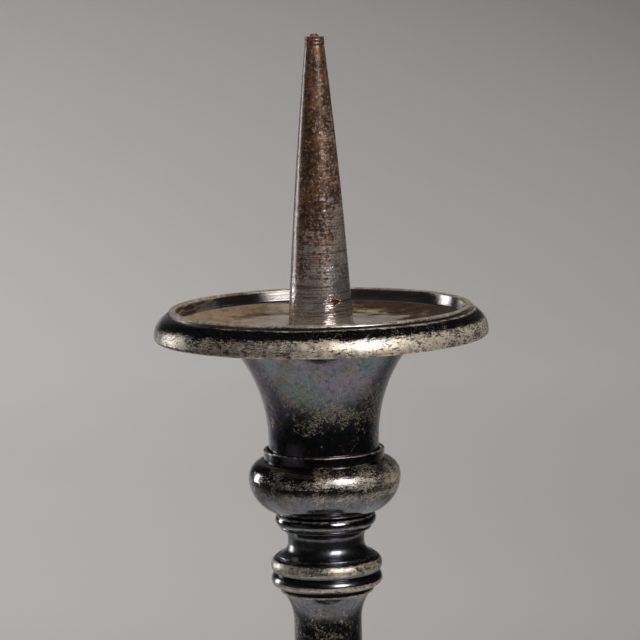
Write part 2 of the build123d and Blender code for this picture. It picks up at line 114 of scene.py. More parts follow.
class PricketSizes(bpy.types.PropertyGroup):
    """Sizes of the iron spike."""

    tip: length("Tip", "Radius of the collar at the tip", 0.00325)
    collar: length("Collar", "Height of the grooved collar at the tip", 0.0034)
    grooves: IntProperty(name="Grooves", description="Grooves round the tip", default=3, min=1)
    groove_depth: length("Groove depth", "Depth of each groove at the tip", 0.0002)
    nub: length("Nub", "Radius of the worn nub on the tip", 0.0016)
    nub_height: length("Nub height", "Height of the worn nub on the tip", 0.0009)
    nub_flat: share("Nub flat", "Radius of the nub's flat top, as a share of the nub's", 0.6)
    swell: share("Swell", "How far the cone stands out, as a share of its length", 0.006)
    rows: IntProperty(name="Rows", description="Rows of faces up the cone", default=150, min=2)
    socket: length("Socket depth", "Depth of the rod's socket in the foot", 0.02)
    forging: length("Forging marks", "Height of the uneven iron skin", 0.00010)
    forging_size: length("Forging mark size", "Width of the uneven spots in the iron skin", 0.0022)
    scar: length("Scar", "Radius of the flaked scar near the foot", 0.0026)
    scar_side: length("Scar side", "How far right of the axis the scar lies", 0.0048)
    scar_front: length("Scar front", "How far in front of the axis the scar lies", 0.0092)
    scar_height: length("Scar height", "Height of the scar above the spike's foot", 0.0098)


class PanSizes(bpy.types.PropertyGroup):
    """Sizes of the drip pan's dish and rim."""

    floor: length("Floor", "Thickness of the dish", 0.0016)
    hole: length("Hole", "Radius of the hole round the spike", 0.0111)
    seat: length("Seat", "Radius of the flat seat for the candle", 0.032)
    wall_depth: length("Wall depth", "Height of the upright wall inside the lip", 0.0042)
    cove: length("Cove", "Radius of the hollow at the foot of the wall", 0.0010)
    wall_lean: length("Wall lean", "How far the wall's foot lies inside its top", 0.0005)
    lip: length("Lip", "Thickness of the lip", 0.0023)
    lip_round: length("Lip round", "Rounding of the lip's two edges", 0.00075)
    rim_gap: length("Rim gap", "Seam between the dish and its rim", 0.00005)
    rim_widest: length("Rim widest", "Height of the rim's widest line above its foot", 0.0011)
    rim_toe: length("Rim toe", "How far the rim draws in below its widest line", 0.0006)
    rim_sole: length("Rim sole", "Width of the rim's underside", 0.0022)
    shelf: share("Shelf", "Share of the lip's thickness that the rim's shelf reaches under", 0.8)
    shelf_depth: length("Shelf depth", "Thickness of the rim's shelf", 0.0015)


class CupSizes(bpy.types.PropertyGroup):
    """Sizes of the cup and its collar."""

    foot: length("Foot", "Radius of the cup's straight foot", 0.0183)
    straight: length("Straight", "Height of the cup's straight foot", 0.005)
    edge: length("Edge", "Height of the cup's upright edge", 0.0015)
    edge_width: length("Edge width", "Width of the cup's edge round its plate", 0.00485)
    wall: length("Wall", "Thickness of the cup's wall at its foot", 0.0026)
    floor: length("Floor", "Height of the cup's floor", 0.0055)
    plate: length("Plate", "Thickness of the plate in the cup's mouth", 0.004)
    ledge: length("Ledge", "Width of the ledge that the plate lies on", 0.0024)
    groove: length("Groove", "Width of the groove round the cup's foot", 0.0005)


class StemSizes(bpy.types.PropertyGroup):
    """Sizes of the stem's knops, spools and shaft."""

    bulb_foot: length("Bulb foot", "Radius of the bulb's foot", 0.0146)
    bulb_head: length("Bulb head", "Radius of the bulb's head", 0.0203)
    bulb_belly: share("Bulb belly", "Height of the bulb's widest line, as a share of its height", 0.67)
    neck_edge: length("Neck edge", "Height of the upright edge at the neck's foot", 0.0007)
    neck_waist: length("Neck waist", "Radius of the neck's waist", 0.0127)
    neck_waist_height: share("Neck waist height", "Height of the neck's waist, as a share of its height", 0.6)
    neck_waist_length: length("Neck waist length", "Length of the neck's upright waist", 0.0015)
    neck_head: length("Neck head", "Radius of the neck's head", 0.0152)
    neck_fillet: length("Neck fillet", "Height of the upright fillet at the neck's head", 0.0009)
    shaft_head: length("Shaft head", "Radius of the shaft's head", 0.0156)
    shaft_head_height: length("Shaft head height", "Height of the shaft's head", 0.002)
    shaft_flare: length("Shaft flare", "Radius of the flare under the shaft's head", 0.0149)
    shaft_flare_height: length("Shaft flare height", "Height of the flare under the shaft's head", 0.01)
    shaft_waist: length("Shaft waist", "Radius of the shaft's slim waist", 0.0113)
    shaft_waist_length: length("Shaft waist length", "Length of the shaft's slim waist", 0.012)
    shaft_belly_rise: length("Shaft belly rise", "Height of the shaft's belly above its foot", 0.022)
    shaft_turnover: share("Shaft turnover", "Where the belly's curve turns over into the waist's", 0.45)
    shaft_foot: length("Shaft foot", "Radius of the shaft's foot", 0.0134)
    shaft_fillet: length("Shaft fillet", "Height of the fillet at the shaft's foot", 0.002)
    shaft_fillet_step: length("Shaft fillet step", "Width of the fillet at the shaft's foot", 0.001)
    knop_foot: length("Lower knop foot", "Radius of the lower knop's foot", 0.0145)
    knop_head: length("Lower knop head", "Radius of the lower knop's head", 0.0155)
    knop_belly: share("Lower knop belly", "Height of the lower knop's widest line, as a share", 0.52)
    spool_waist: length("Lower spool waist", "Radius of the lower spool's waist", 0.012)
    spool_waist_height: share("Lower spool waist height", "Height of that waist, as a share", 0.56)
    spool_head: length("Lower spool head", "Radius of the lower spool's head", 0.015)
    spool_fillet: length("Lower spool fillet", "Height of the lower spool's fillets", 0.0018)
    spool_fillet_step: length("Lower spool fillet step", "Width of the lower spool's fillets", 0.0009)


class BaseSizes(bpy.types.PropertyGroup):
    """Sizes of the base's trumpet, dome and foot ring."""

    head: length("Trumpet head", "Radius of the trumpet's head", 0.0165)
    head_height: length("Trumpet head height", "Height of the trumpet's head", 0.002)
    neck: length("Trumpet neck", "Radius of the trumpet's neck", 0.0145)
    fillet: length("Trumpet fillet", "Height of the fillet at the trumpet's foot", 0.0025)
    fillet_step: length("Trumpet fillet step", "Width of the fillet at the trumpet's foot", 0.0019)
    well: length("Well", "Radius of the well for the nut", 0.02)
    well_rise: length("Well rise", "Height of the well above the dome's top", 0.013)
    spigot: length("Trumpet spigot", "Radius of the trumpet's spigot in the dome", 0.024)
    seam: length("Seam", "Seam between the trumpet and the dome", 0.00005)
    wall: length("Dome wall", "Thickness of the dome", 0.0035)
    shoulder: length("Dome shoulder", "Radius of the dome's round shoulder", 0.024)
    band_step: length("Dome band step", "How far the band stands out from the shoulder", 0.002)
    seat_clearance: length("Seat clearance", "Clearance of the dome in the foot ring", 0.00015)
    foot_top: length("Foot top", "Width of the flat on top of the foot ring", 0.004)
    foot_fillet: length("Foot fillet", "Height of the fillet on top of the foot ring", 0.002)
    foot_fillet_step: length("Foot fillet step", "Width of the fillet on top of the foot ring", 0.001)
    foot_edge: length("Foot edge", "Height of the foot ring's upright edge", 0.004)
    foot_round: length("Foot round", "Rounding under the foot ring's edge", 0.0012)
    foot_sole: length("Foot sole", "Width of the foot ring's sole", 0.012)
    foot_ovolo: share("Foot ovolo", "How far the foot ring's curve stands out, as a share of its chord", 0.17)


class FinishColours(bpy.types.PropertyGroup):
    """Colours of the metals and of what has settled on them."""

    film_violet: colour("Violet film", "Dark tarnish with a violet cast", (0.195, 0.178, 0.238))
    film_teal: colour("Teal film", "Dark tarnish with a green-blue cast", (0.130, 0.182, 0.190))
    film_grey: colour("Grey film", "Dark tarnish with hardly any cast", (0.158, 0.163, 0.175))
    film_brown: colour("Brown film", "Dark tarnish with a brown cast", (0.150, 0.125, 0.105))
    worn: colour("Worn silver", "Pale warm metal where the tarnish is rubbed through", (0.70, 0.60, 0.475))
    dull: colour("Dull silver", "Browned metal between the bright and the dark", (0.36, 0.30, 0.235))
    gilt: colour("Gilt", "Brass that shows in fine cracks of the tarnish", (0.62, 0.48, 0.30))
    pit: colour("Pit", "Dark dirt in the pits of the worn metal", (0.020, 0.016, 0.013))
    grey: colour("Grey silver", "Dull grey metal under the candle", (0.40, 0.37, 0.34))
    residue: colour("Residue", "Dark brown residue in the pan", (0.030, 0.019, 0.012))
    residue_light: colour("Light residue", "Thin brown residue in the pan", (0.300, 0.205, 0.130))
    rust_dark: colour("Dark rust", "Old dark rust on the spike", (0.034, 0.017, 0.011))
    rust_light: colour("Light rust", "Lighter brown rust on the spike", (0.184, 0.093, 0.051))
    iron: colour("Bare iron", "Smooth grey iron", (0.62, 0.545, 0.51))
    sweep: colour("Sweep", "The pale floor and backdrop", (0.60, 0.575, 0.56))


class StageSizes(bpy.types.PropertyGroup):
    """Places and powers of the camera, lamps and sweep."""

    lens: FloatProperty(name="Lens", description="Focal length of the camera", default=146.25, unit="CAMERA")
    distance: length("Distance", "From the camera to the axis of the stand", 0.854)
    aim_height: length("Aim height", "Height on the axis at the middle of the view", 0.3264)
    aim_side: length("Aim side", "How far right of the axis the view's middle lies", -0.0003)
    pitch: angle("Pitch", "How far the camera looks down", 7.6)
    roll: angle("Roll", "How far the camera is rolled clockwise", 1.355)
    floor_front: length("Floor front", "How far the floor reaches towards the camera's side", 5.0)
    floor_back: length("Floor back", "Where the floor starts to curve up", 2.0)
    sweep_radius: length("Sweep radius", "Radius of the curve up to the backdrop", 0.8)
    sweep_height: length("Sweep height", "Height of the backdrop", 4.0)
    sweep_width: length("Sweep width", "Width of the floor and backdrop", 10.0)
    key: power("Key", "Large soft lamp at the front right", 2.2)
    strip: power("Strip", "Narrow lamp behind on the left", 1.0)
    fill: power("Fill", "Faint lamp at the front left", 0.12)
    wash: power("Wash", "Lamp on the floor and backdrop behind the stand", 425.0)
    pool: power("Pool", "Lamp over the stand", 148.0)
    room: FloatProperty(name="Room", description="Strength of the dim light all round", default=0.015, min=0)
    room_tint: colour("Room tint", "Colour of the dim light all round", (1.0, 0.97, 0.94))


# Turned meshes

def upright_arc(start, end):
    """Points along the arc that leaves its start upright and passes through its end."""
    across = end[0] - start[0]
    rise = end[1] - start[1]
    radius = (across ** 2 + rise ** 2) / (2 * abs(across))
    turn = 2 * math.atan2(abs(across), abs(rise))
    steps = max(2, math.ceil(turn / ARC_STEP))
    points = []
    for step in range(steps + 1):
        bend = turn * step / steps
        out = math.copysign(radius, across) * (1 - math.cos(bend))
        up = math.copysign(radius, rise) * math.sin(bend)
        points.append((start[0] + out, start[1] + up))
    return points


class Outline:
    """A turner's outline of (radius, height) points, from the bore round the outside and back."""

    def __init__(self, radius, height):
        self.points = [(radius, height)]

    def line(self, radius, height):
        """A straight run."""
        self.points.append((radius, height))
        return self

    def tuck(self, radius, height):
        """An arc that leaves the present point upright."""
        self.points += upright_arc(self.points[-1], (radius, height))[1:]
        return self

    def swell(self, radius, height):
        """An arc that arrives upright at its end."""
        self.points += reversed(upright_arc((radius, height), self.points[-1])[:-1])
        return self

    def ogee(self, radius, height, turnover):
        """Two arcs, upright at both ends, that turn over at a share of the way."""
        r, z = self.points[-1]
        return self.tuck(r + turnover * (radius - r), z + turnover * (height - z)).swell(radius, height)

    def bow(self, radius, height, stand_out, steps):
        """An arc that stands out by a share of its chord, to the right of its way."""
        r, z = self.points[-1]
        turn = 4 * math.atan(2 * stand_out)
        for step in range(1, steps + 1):
            bend = turn * step / steps
            size = math.sin(bend / 2) / math.sin(turn / 2)
            side = (turn - bend) / 2
            across = math.cos(side) * (radius - r) + math.sin(side) * (height - z)
            along = math.cos(side) * (height - z) - math.sin(side) * (radius - r)
            self.points.append((r + size * across, z + size * along))
        return self

    def bored(self, top, low, turning):
        """Ends a section with the rod's bore from its top down and the socket below."""
        socket_top = low + turning.socket_depth
        self.line(turning.rod_bore, top).line(turning.rod_bore, socket_top)
        return self.line(turning.socket, socket_top)

    def section(self, shoulder, top, low, turning):
        """Ends a section with its spigot on top, the rod's bore and the socket below."""
        self.line(turning.spigot, shoulder).line(turning.spigot, top)
        return self.bored(top, low, turning)


def drawn_wire(name, points):
    """A new object whose one chain of edges is drawn through the points by extruding a vertex."""
    bpy.ops.object.select_all(action="DESELECT")
    bpy.ops.mesh.primitive_plane_add(size=MERGE_DISTANCE)
    piece = bpy.context.object
    piece.name = name
    piece.data.name = name
    bpy.ops.object.mode_set(mode="EDIT")
    bpy.ops.mesh.select_mode(type="VERT")
    bpy.ops.mesh.select_all(action="SELECT")
    bpy.ops.mesh.merge(type="CENTER")
    bpy.ops.transform.translate(value=points[0])
    for here, there in zip(points, points[1:]):
        bpy.ops.mesh.extrude_vertices_move(TRANSFORM_OT_translate={"value": there - here})
    bpy.ops.mesh.select_all(action="SELECT")
    bpy.ops.mesh.remove_doubles(threshold=MERGE_DISTANCE)
    bpy.ops.object.mode_set(mode="OBJECT")
    return piece


def select_corners(piece):
    """Selects the vertices off the axis where the wire turns sharply."""
    mesh = piece.data
    ways = {vertex.index: [] for vertex in mesh.vertices}
    for edge in mesh.edges:
        first, second = edge.vertices
        way = (mesh.vertices[second].co - mesh.vertices[first].co).normalized()
        ways[first].append(way)
        ways[second].append(-way)
        edge.select = False
    for vertex in mesh.vertices:
        both = ways[vertex.index]
        sharp = len(both) == 2 and math.pi - both[0].angle(both[1]) > CORNER_ANGLE
        vertex.select = sharp and vertex.co.x > MERGE_DISTANCE


def finish_modifier(piece, kind, **settings):
    """Adds a modifier to the active piece, sets it and applies it."""
    modifier = piece.modifiers.new(kind.lower(), kind)
    for setting, value in settings.items():
        setattr(modifier, setting, value)
    bpy.ops.object.modifier_apply(modifier=modifier.name)


def turned(node, outline, turning, fineness=1):
    """Spins a node's outline round the stand's axis into a closed piece.

    Fineness divides how far the piece's sharp edges are eased.
    """
    starts_on_axis = outline.points[0][0] == 0
    loop = outline.points if starts_on_axis else outline.points + outline.points[:1]
    piece = drawn_wire(f"turned_{node}", [Vector((radius, 0, height)) for radius, height in loop])
    select_corners(piece)
    bpy.ops.object.mode_set(mode="EDIT")
    easing = turning.edge / fineness
    bpy.ops.mesh.bevel(offset=easing, segments=EDGE_SEGMENTS, affect="VERTICES", clamp_overlap=True)
    bpy.ops.object.mode_set(mode="OBJECT")
    finish_modifier(piece, "SCREW", steps=turning.steps, render_steps=turning.steps)
    bpy.ops.object.mode_set(mode="EDIT")
    bpy.ops.mesh.select_all(action="SELECT")
    bpy.ops.mesh.remove_doubles(threshold=MERGE_DISTANCE)
    bpy.ops.mesh.normals_make_consistent(inside=False)
    bpy.ops.mesh.select_all(action="DESELECT")
    bpy.ops.mesh.select_non_manifold()
    bpy.ops.object.mode_set(mode="OBJECT")
    if any(vertex.select for vertex in piece.data.vertices):
        raise RuntimeError(f"{piece.name} isn't closed")
    bpy.ops.object.shade_smooth_by_angle(angle=SMOOTH_ANGLE)
    finish_modifier(piece, "WEIGHTED_NORMAL", keep_sharp=True)
    return piece


def dress(piece, node, finish, body=STAND):
    """Gives a piece its finish and its body, and lets it stand for its CAD node."""
    piece.data.materials.clear()
    piece.data.materials.append(finish)
    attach(piece, body)
    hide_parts(node)


def seat(node):
    """Height of a node's lowest point."""
    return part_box(node)[0].z


def crown(node):
    """Height of a node's highest point."""
    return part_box(node)[1].z


def reach(node):
    """Radius of a node's widest line."""
    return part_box(node)[1].x


def extent(node):
    """A node's lowest and highest points, and the radius of its widest line."""
    return seat(node), crown(node), reach(node)


# Finishes

# The wax on the spike: how much there is, how blurred it is, and how much sheen the rust keeps under it
WAX = 0.45
WAX_ROUGHNESS = 0.07
WAXED_SHEEN = 0.1

# Depths of the marks that only the finishes have, in metres
STREAK_DEPTH = 0.000006
PIT_DEPTH = 0.000020
PAN_MARK_DEPTH = 0.000030
TOOL_LINE_DEPTH = 0.000115
RUST_DEPTH = 0.000046
IRON_GRAIN_DEPTH = 0.00004
PAPER_GRAIN_DEPTH = 0.00005

# Where each noise of the silvering starts to show and is full
CLOUD_RANGE = (0.40, 0.60)
BROWN_RANGE = (0.54, 0.72)
SMOKE_RANGE = (0.42, 0.70)
CRACKED_RANGE = (0.46, 0.64)
PIT_RANGE = (0.575, 0.615)
SPECK_RANGE = (0.60, 0.70)
WEAR_RANGE = (0.36, 0.70)
POLISH_RANGE = (0.36, 0.64)

# How strong the smoke and the pits are at most, and how far from its middle a crack is full and ends
SMOKE, PITS = 0.55, 0.85
CRACK_WIDTH = (0.011, 0.040)

# How far patches and breaks move the cracks, patches the pits, and streaks and grain the wear
CRACK_PATCHES, CRACK_BREAKS = 2.0, 1.5
PIT_PATCHES = 0.4
WEAR_STREAKS, WEAR_GRAIN = 1.2, 1.3

# How metallic and how rough worn silver is, and how much brighter a pitted piece's metal is painted
# on its right, as painted light from the key lamp on that side
WORN_METAL = 0.64
WORN_ROUGHNESS = (0.26, 0.54)
RIGHT_SIDE_PAINTED_LIGHT = 2.5

# Where the dish's stain starts and is full, as shares of its seat, and how far patches and rings move it
STAIN_START, STAIN_FULL = 0.55, 0.95
STAIN_PATCHES, STAIN_RINGS = 0.034, 0.014

# How far each side of the axis the stain goes from light to heavy, how far patches move that, and its least
HEAVY_SIDE, HEAVY_PATCHES, HEAVY_LEAST = 0.030, 0.16, 0.3

# Where the dish's grey, its wall's glaze and crust, and its lip's rubbing start to show and are full
GREY_RANGE = (0.35, 0.65)
GLAZE_RANGE = (0.40, 0.60)
GLAZE_LINE_RANGE = (0.54, 0.70)
CRUST_RANGE = (0.54, 0.66)
RUB_RANGE = (0.42, 0.64)

# How far left of the axis the crust on the dish's wall is full and ends, and how far that strays
CRUST_FULL, CRUST_END, CRUST_STRAY = 0.045, 0.031, 0.04

# How far below the lip's top its rubbing starts and is full, and how far rings and grain move that
RUB_START, RUB_FULL = 0.0009, 0.0003
RUB_RINGS, RUB_GRAIN = 0.0020, 0.0012

# Where the spike's light rust, glints, bare iron and turning lines start to show and are full
RUST_RANGE = (0.30, 0.78)
GLINT_RANGE = (0.66, 0.80)
BARE_RANGE = (0.22, 0.95)
LINE_RANGE = (0.35, 0.52)

# How bare the spike is at shares of its height, and how much barer it is painted on its right, as painted
# light where the key lamp falls
SPIKE_BARE = ((0.0, 0.84), (0.10, 0.76), (0.24, 0.50), (0.40, 0.28), (0.60, 0.18), (1.0, 0.06))
SPIKE_RIGHT_PAINTED_LIGHT = 0.25

# The scar's stretch on each axis, and as shares of its radius its raggedness, its bright edge and its flake
SCAR_STRETCH = (0.8, 1.0, 1.5)
SCAR_RAGGED, SCAR_EDGE = 1.4, 0.9
FLAKE_FULL, FLAKE_END = 0.65, 0.85


class Finish:
    """A procedural finish on the stand's own axis; its nodes take sockets, numbers or colours."""

    def __init__(self, name, girth=1.0):
        self.girth = girth
        self.material = bpy.data.materials.new(name)
        self.material.use_nodes = True
        self.tree = self.material.node_tree
        self.tree.nodes.clear()
        self.point = self.add("ShaderNodeTexCoord").outputs["Object"]
        axes = self.add("ShaderNodeSeparateXYZ", {"Vector": self.point}).outputs
        flat = self.add("ShaderNodeCombineXYZ", {"X": axes["X"], "Y": axes["Y"]}).outputs["Vector"]
        self.side = axes["X"]
        self.height = axes["Z"]
        self.radius = self.vector("LENGTH", {0: flat}, "Value")
        self.heading = self.vector("NORMALIZE", {0: flat})

    def add(self, kind, inputs=None, **settings):
        """A node with its settings made and its inputs fed."""
        node = self.tree.nodes.new(kind)
        for setting, value in settings.items():
            setattr(node, setting, value)
        for key, value in (inputs or {}).items():
            if isinstance(value, bpy.types.NodeSocket):
                self.tree.links.new(value, node.inputs[key])
            else:
                node.inputs[key].default_value = value
        return node

    def vector(self, operation, inputs, result="Vector"):
        """One step of arithmetic on vectors."""
        return self.add("ShaderNodeVectorMath", inputs, operation=operation).outputs[result]

    def math(self, operation, first, second=0.0, clamp=False):
        """One step of arithmetic on two values."""
        inputs = {0: first, 1: second}
        return self.add("ShaderNodeMath", inputs, operation=operation, use_clamp=clamp).outputs[0]

    def plus(self, value, other, amount):
        """A value with an amount of another added."""
        return self.math("ADD", value, self.math("MULTIPLY", other, amount))

    def noise(self, scale, detail=4.0, roughness=0.6, distortion=0.0):
        """Soft noise about one half, with so many marks to the metre."""
        inputs = {"Vector": self.point, "Scale": scale, "Detail": detail}
        inputs |= {"Roughness": roughness, "Distortion": distortion}
        return self.add("ShaderNodeTexNoise", inputs).outputs[0]

    def grain(self):
        """The finest grain of the metal."""
        return self.noise(3000, 3, 0.65)

    def lathe(self, across, along, detail=3.0):
        """Noise drawn out round the axis, as a turner's tool or a polishing cloth leaves it."""
        ring = self.vector("SCALE", {0: self.heading, "Scale": along * self.girth})
        rise = self.math("MULTIPLY", self.height, across)
        rise = self.add("ShaderNodeCombineXYZ", {"Z": rise}).outputs["Vector"]
        inputs = {"Vector": self.vector("ADD", {0: ring, 1: rise}), "Scale": 1.0}
        inputs |= {"W": self.math("MULTIPLY", self.radius, across), "Detail": detail, "Roughness": 0.6}
        return self.add("ShaderNodeTexNoise", inputs, noise_dimensions="4D").outputs[0]

    def spot(self, place, stretch):
        """Distance from a place, with each axis stretched."""
        away = self.vector("SUBTRACT", {0: self.point, 1: place})
        away = self.vector("MULTIPLY", {0: away, 1: stretch})
        return self.vector("LENGTH", {0: away}, "Value")

    def stir(self, value, *noises):
        """A value made uneven by (noise, amount) pairs, each noise about one half."""
        for noise, amount in noises:
            value = self.plus(value, self.math("SUBTRACT", noise, 0.5), amount)
        return value

    def leaning(self, value, amount):
        """A value that grows to the right of the axis, by an amount at the piece's widest line, used to paint
        the side under the key lamp lighter.
        """
        return self.plus(value, self.side, amount / self.girth) if amount else value

    def between(self, value, low, high, bottom=0.0, top=1.0):
        """A smooth step from bottom to top as a value goes from low to high."""
        inputs = {"Value": value, "From Min": low, "From Max": high, "To Min": bottom, "To Max": top}
        return self.add("ShaderNodeMapRange", inputs, interpolation_type="SMOOTHSTEP").outputs[0]

    def fade(self, part, start, end):
        """A smooth step from start to end as a share goes from none to all."""
        return self.between(part, 0.0, 1.0, start, end)

    def bands(self, low, high, stops):
        """A value that follows (share, amount) stops as the height goes from low to high."""
        inputs = {"Value": self.height, "From Min": low, "From Max": high}
        ramp = self.add("ShaderNodeValToRGB", {"Fac": self.add("ShaderNodeMapRange", inputs).outputs[0]})
        elements = ramp.color_ramp.elements
        while len(elements) < len(stops):
            elements.new(1.0)
        for element, (place, amount) in zip(elements, stops):
            element.position = place
            element.color = (amount, amount, amount, 1)
        return ramp.outputs["Color"]

    def mix(self, factor, first, second):
        """A blend of two colours."""
        inputs = {0: factor, 6: self.solid(first), 7: self.solid(second)}
        return self.add("ShaderNodeMix", inputs, data_type="RGBA").outputs[2]

    def solid(self, tint):
        """A colour with its alpha, or a socket as it is."""
        return tint if isinstance(tint, bpy.types.NodeSocket) else (*tint, 1)

    def bump(self, height, distance, normal=None):
        """A normal bent by a height."""
        inputs = {"Height": height, "Distance": distance, "Strength": 1.0}
        if normal:
            inputs["Normal"] = normal
        return self.add("ShaderNodeBump", inputs).outputs["Normal"]

    def surface(self, tint, metal, roughness, normal, wax=0.0):
        """Ends the finish with its surface, and a thin coat of wax if it has one."""
        inputs = {"Base Color": tint, "Metallic": metal, "Roughness": roughness, "Normal": normal}
        if wax:
            inputs |= {"Coat Weight": wax, "Coat Roughness": WAX_ROUGHNESS, "Coat Normal": normal}
            inputs["Specular IOR Level"] = WAXED_SHEEN
        shader = self.add("ShaderNodeBsdfPrincipled", inputs)
        self.add("ShaderNodeOutputMaterial", {"Surface": shader.outputs["BSDF"]})
        return self.material


def film(finish, colours, vivid):
    """The tarnish's colour: violet and teal in soft clouds, more or less vivid, and brown in places."""
    clouds = finish.between(finish.noise(75, 2), *CLOUD_RANGE)
    violet = Vector(colours.film_grey).lerp(colours.film_violet, vivid)
    teal = Vector(colours.film_grey).lerp(colours.film_teal, vivid)
    cast = finish.mix(clouds, violet, teal)
    cast = finish.mix(finish.between(finish.noise(130, 3), *BROWN_RANGE), cast, colours.film_brown)
    smoke = finish.between(finish.noise(620, 5, 0.7), *SMOKE_RANGE, 0.0, SMOKE)
    return finish.mix(smoke, cast, colours.pit)


def cracks(finish, low, high, stops, lean):
    """Fine broken cracks in the tarnish, in the bands that the stops give, leaning right as painted light
    from the key lamp.
    """
    thread = finish.math("SUBTRACT", finish.noise(2100, 2, 0.5, 0.9), 0.5)
    lines = finish.between(finish.math("ABSOLUTE", thread), *CRACK_WIDTH, 1.0, 0.0)
    where = finish.leaning(finish.bands(low, high, stops), lean)
    where = finish.stir(where, (finish.noise(160, 3), CRACK_PATCHES), (finish.noise(1000, 2), CRACK_BREAKS))
    return finish.math("MULTIPLY", lines, finish.between(where, *CRACKED_RANGE))


def pitting(finish, pitted):
    """Dark pits in the worn metal, drawn out round the axis, with more at a pitted piece's two sides."""
    pits = finish.stir(finish.lathe(2100, 800, 2), (finish.noise(230, 2), PIT_PATCHES))
    if pitted:
        away = finish.math("MULTIPLY", finish.side, pitted / finish.girth)
        pits = finish.math("ADD", pits, finish.math("ABSOLUTE", away))
    return finish.between(pits, *PIT_RANGE, 0.0, PITS)


def silver(node, colours, low, high, stops, crackle=None, specks=0.3, ragged=1.0, gloss=0.12, lean=0.0,
           vivid=0.3, pitted=0.0):
    """Silvered brass: a glossy dark film, rubbed through to pale metal in the bands that the stops give.

    Crackle gives bands of fine cracks. The rest say how strong the specks are, how ragged the wear is, how
    rough the film is, how much lighter the right is painted as painted light from the key lamp, how vivid the
    film is, and how pitted the sides are, which also paints a pitted piece's metal brighter on its right.
    """
    finish = Finish(f"{node}_silver", reach(node))
    grain = finish.grain()
    streaks = finish.lathe(3000, 600)
    # The wear leans to the right: painted light, with the side under the key lamp painted more worn and
    # lighter
    wear = finish.leaning(finish.bands(low, high, stops), lean)
    wear = finish.stir(wear, (finish.noise(120, 3), ragged), (streaks, WEAR_STREAKS * ragged))
    wear = finish.stir(wear, (grain, WEAR_GRAIN * ragged))
    marks = finish.between(finish.noise(3100, 2, 0.5), *SPECK_RANGE)
    marks = finish.math("MULTIPLY", marks, specks)
    if crackle:
        lines = cracks(finish, low, high, crackle, lean)
        marks = finish.math("MAXIMUM", marks, lines)
    bare = finish.math("MAXIMUM", finish.between(wear, *WEAR_RANGE), marks)
    # On a pitted piece the pale metal leans to the right: painted light from the key lamp, over random dull
    # and worn patches
    polish_and_painted_light = finish.leaning(finish.noise(430, 4), RIGHT_SIDE_PAINTED_LIGHT * pitted)
    metal = finish.mix(finish.between(polish_and_painted_light, *POLISH_RANGE), colours.dull, colours.worn)
    pits = pitting(finish, pitted)
    metal = finish.mix(pits, metal, colours.pit)
    if crackle:
        metal = finish.mix(finish.math("MULTIPLY", lines, vivid), metal, colours.gilt)
    tint = finish.mix(bare, film(finish, colours, vivid), metal)
    matt = finish.between(grain, *POLISH_RANGE, *WORN_ROUGHNESS)
    relief = finish.math("MULTIPLY", finish.math("SUBTRACT", grain, pits), bare)
    normal = finish.bump(relief, PIT_DEPTH, finish.bump(streaks, STREAK_DEPTH))
    return finish.surface(tint, finish.fade(bare, 1.0, WORN_METAL), finish.fade(bare, gloss, matt), normal)


def pan_silver(colours, pan, lip, top):
    """The dish: grey where candles stand, brown residue round it, a dark wall and a rubbed lip."""
    finish = Finish("pan_silver", lip)
    patches = finish.noise(95, 4)
    grain = finish.noise(1900, 4, 0.65)
    rings = finish.lathe(1500, 60)

    around = finish.stir(finish.radius, (patches, STAIN_PATCHES), (rings, STAIN_RINGS))
    stained = finish.between(around, STAIN_START * pan.seat, STAIN_FULL * pan.seat)
    side = finish.stir(finish.side, (patches, HEAVY_PATCHES))
    heavy = finish.between(side, -HEAVY_SIDE, HEAVY_SIDE, HEAVY_LEAST, 1.0)
    heavy = finish.stir(heavy, (grain, 2.2), (rings, 0.5), (finish.noise(190, 4), 1.1))
    heavy = finish.stir(heavy, (finish.noise(800, 4, 0.7), 1.2))
    residue = finish.mix(finish.fade(heavy, 0.0, 1.0), colours.residue_light, colours.residue)
    grey = finish.mix(finish.between(grain, *GREY_RANGE), colours.grey, colours.worn)
    tint = finish.mix(stained, grey, residue)

    foot = lip - pan.lip - pan.wall_lean
    upright = finish.between(finish.radius, foot - pan.cove, foot - pan.cove / 2)
    glaze = finish.mix(finish.between(rings, *GLAZE_RANGE), colours.film_grey, colours.film_brown)
    glaze = finish.mix(finish.between(rings, *GLAZE_LINE_RANGE, 0.0, 0.5), glaze, colours.dull)
    side = finish.stir(finish.side, (patches, CRUST_STRAY), (rings, CRUST_STRAY))
    crust = finish.between(side, -CRUST_FULL, -CRUST_END, 1.0, 0.0)
    crusted = finish.mix(finish.between(rings, *CRUST_RANGE), colours.residue, colours.residue_light)
    tint = finish.mix(upright, tint, finish.mix(crust, glaze, crusted))

    edge = finish.stir(finish.height, (rings, RUB_RINGS), (grain, RUB_GRAIN))
    rubbed = finish.between(edge, top - RUB_START, top - RUB_FULL)
    rubbing = finish.mix(finish.between(finish.noise(420, 4), *RUB_RANGE), colours.dull, colours.worn)
    tint = finish.mix(rubbed, tint, rubbing)

    bright = finish.math("MAXIMUM", finish.math("SUBTRACT", upright, crust, clamp=True), rubbed)
    metal = finish.math("MAXIMUM", finish.fade(stained, 0.75, 0.35), finish.math("MULTIPLY", bright, 0.93))
    metal = finish.plus(metal, rubbed, -0.22)
    roughness = finish.fade(bright, finish.fade(stained, 0.36, 0.38), 0.06)
    roughness = finish.plus(finish.plus(roughness, grain, 0.14), rubbed, 0.24)
    normal = finish.bump(grain, PAN_MARK_DEPTH, finish.bump(rings, PAN_MARK_DEPTH))
    return finish.surface(tint, metal, roughness, normal)


